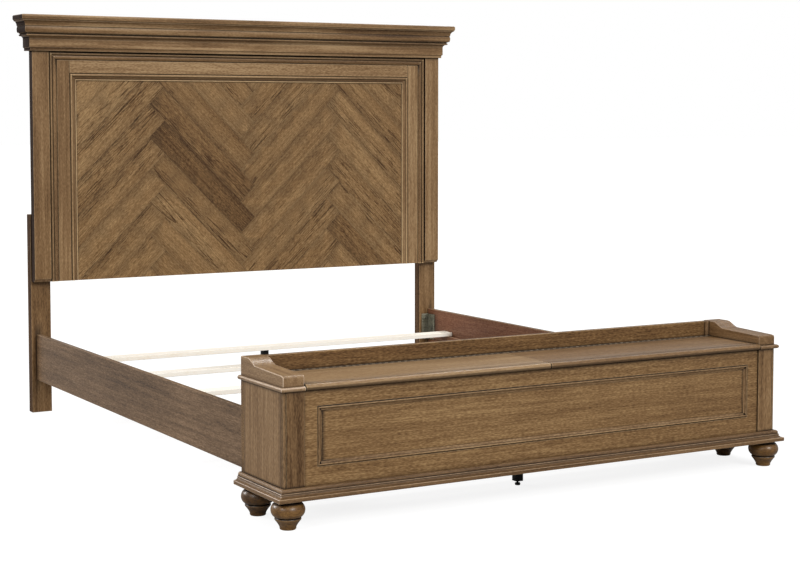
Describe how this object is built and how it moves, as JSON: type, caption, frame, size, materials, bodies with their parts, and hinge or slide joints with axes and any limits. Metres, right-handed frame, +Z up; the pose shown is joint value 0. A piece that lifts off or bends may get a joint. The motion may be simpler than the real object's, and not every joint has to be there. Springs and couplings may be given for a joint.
{
  "type": "storage bed",
  "caption": "King size panel bed with a herringbone headboard under a stepped crown, side rails, slats and a lidded storage bench with scrolled arms and bun feet as its footboard.",
  "frame": {"origin": "on the floor, at the middle of the bed's whole width and depth", "axes": "+Y from the foot towards the headboard, +X to the right of someone who stands at the foot and faces the headboard, +Z up"},
  "size_m": [2.116, 2.4946, 1.694],
  "materials": {
    "oak_across": "brown stained oak, grain along X, satin lacquer with dark glaze in the grooves",
    "oak_lengthwise": "brown stained oak, grain along Y, satin lacquer",
    "oak_upright": "brown stained oak, grain upright, satin lacquer",
    "oak_moulding": "brown stained oak moulding, dark glaze in the quirks, satin lacquer",
    "oak_herringbone": "brown stained oak veneer planks laid in herringbone, satin lacquer",
    "oak_turned": "brown stained turned oak, semi-gloss lacquer",
    "inner_board": "brown stained board, matt",
    "pale_softwood": "plain pale softwood, sawn and sanded",
    "rail_wood": "red brown stained wood, grain along Y, satin lacquer",
    "black_paint": "black paint, satin",
    "glide_nylon": "black nylon levelling glide, matt",
    "zinc_steel": "zinc plated steel",
    "hinge_steel": "antique finished steel"
  },
  "bodies": {
    "bed_frame": {"crown_cap": "oak_across", "crown_cornice": "oak_across", "crown_bed_mould": "oak_across", "crown_frieze": "oak_across", "headboard_core": "inner_board", "herringbone_veneer": "oak_herringbone", "left_stile": "oak_upright", "right_stile": "oak_upright", "top_rail": "oak_across", "inner_moulding": "oak_moulding", "outer_moulding": "oak_moulding", "left_pilaster": "oak_upright", "right_pilaster": "oak_upright", "left_headboard_leg": "oak_upright", "right_headboard_leg": "oak_upright", "hex_bolts": "zinc_steel", "left_side_rail": "rail_wood", "right_side_rail": "rail_wood", "left_slat_cleat": "rail_wood", "right_slat_cleat": "rail_wood", "rail_brackets": "zinc_steel", "wood_screws": "zinc_steel", "slat_1": "pale_softwood", "slat_2": "pale_softwood", "slat_3": "pale_softwood", "slat_4": "pale_softwood", "slat_legs": "black_paint", "left_end_panel": "oak_upright", "right_end_panel": "oak_upright", "left_front_post": "oak_upright", "right_front_post": "oak_upright", "corner_blocks": "pale_softwood", "front_panel": "oak_across", "front_panel_moulding": "oak_moulding", "back_board": "oak_across", "left_arm": "oak_lengthwise", "right_arm": "oak_lengthwise", "base_moulding_front": "oak_across", "base_moulding_left": "oak_lengthwise", "base_moulding_right": "oak_lengthwise", "bottom_board": "inner_board", "centre_divider": "inner_board", "bench_leg": "black_paint", "hinge_rail": "oak_across", "corner_beads": "oak_upright", "hinge_fixed_leaves": "hinge_steel", "hinge_pins": "hinge_steel", "left_front_foot": "oak_turned", "right_front_foot": "oak_turned", "left_back_foot": "oak_turned", "right_back_foot": "oak_turned"},
    "left_lid": {"left_lid": "oak_across", "left_hinge_leaf": "hinge_steel"},
    "right_lid": {"right_lid": "oak_across", "right_hinge_leaf": "hinge_steel"},
    "slat_glide_1": {"slat_glide_1": "glide_nylon"},
    "slat_glide_2": {"slat_glide_2": "glide_nylon"},
    "slat_glide_3": {"slat_glide_3": "glide_nylon"},
    "slat_glide_4": {"slat_glide_4": "glide_nylon"},
    "bench_glide": {"bench_glide": "glide_nylon"}
  },
  "joints": [
    {"name": "left_lid_hinge", "type": "hinge", "parent": "bed_frame", "child": "left_lid", "pos_m": [-0.458, -0.9483, 0.449], "axis": [-1, 0, 0], "range_deg": [0, 98]},
    {"name": "right_lid_hinge", "type": "hinge", "parent": "bed_frame", "child": "right_lid", "pos_m": [0.458, -0.9483, 0.449], "axis": [-1, 0, 0], "range_deg": [0, 98]},
    {"name": "slat_glide_1_screw", "type": "slide", "parent": "bed_frame", "child": "slat_glide_1", "axis": [0, 0, 1], "range_m": [0, 0.005]},
    {"name": "slat_glide_2_screw", "type": "slide", "parent": "bed_frame", "child": "slat_glide_2", "axis": [0, 0, 1], "range_m": [0, 0.005]},
    {"name": "slat_glide_3_screw", "type": "slide", "parent": "bed_frame", "child": "slat_glide_3", "axis": [0, 0, 1], "range_m": [0, 0.005]},
    {"name": "slat_glide_4_screw", "type": "slide", "parent": "bed_frame", "child": "slat_glide_4", "axis": [0, 0, 1], "range_m": [0, 0.005]},
    {"name": "bench_glide_screw", "type": "slide", "parent": "bed_frame", "child": "bench_glide", "axis": [0, 0, 1], "range_m": [0, 0.005]}
  ]
}
